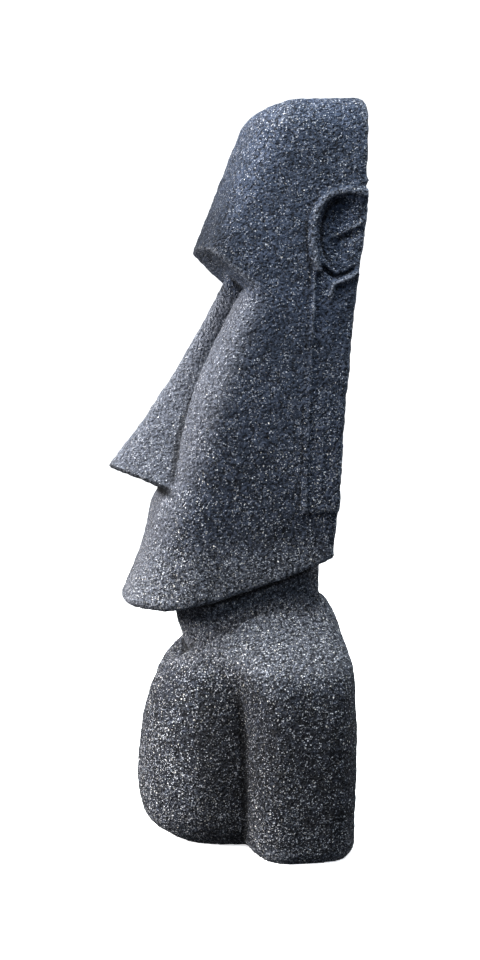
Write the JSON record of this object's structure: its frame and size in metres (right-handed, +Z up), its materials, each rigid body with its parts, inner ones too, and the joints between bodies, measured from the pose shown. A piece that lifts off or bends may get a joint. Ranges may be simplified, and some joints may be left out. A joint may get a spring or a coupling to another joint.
{
  "type": "moai stone head statue",
  "caption": "Cast stone garden moai: a tall stylised head with heavy brow, long nose and long ears on a low bust with arms at its sides.",
  "frame": {"origin": "centre of the statue's overall footprint, on the flat underside it stands on", "axes": "+Z up, the face looks along -Y, +X is the statue's own left side"},
  "size_m": [0.3808, 0.3408, 1],
  "materials": {
    "cast_stone": "matt dark grey cast stone with a blue tint, pebbly to the touch, full of small exposed grains of white grit"
  },
  "bodies": {
    "root": {"moai_statue": "cast_stone"}
  },
  "joints": []
}
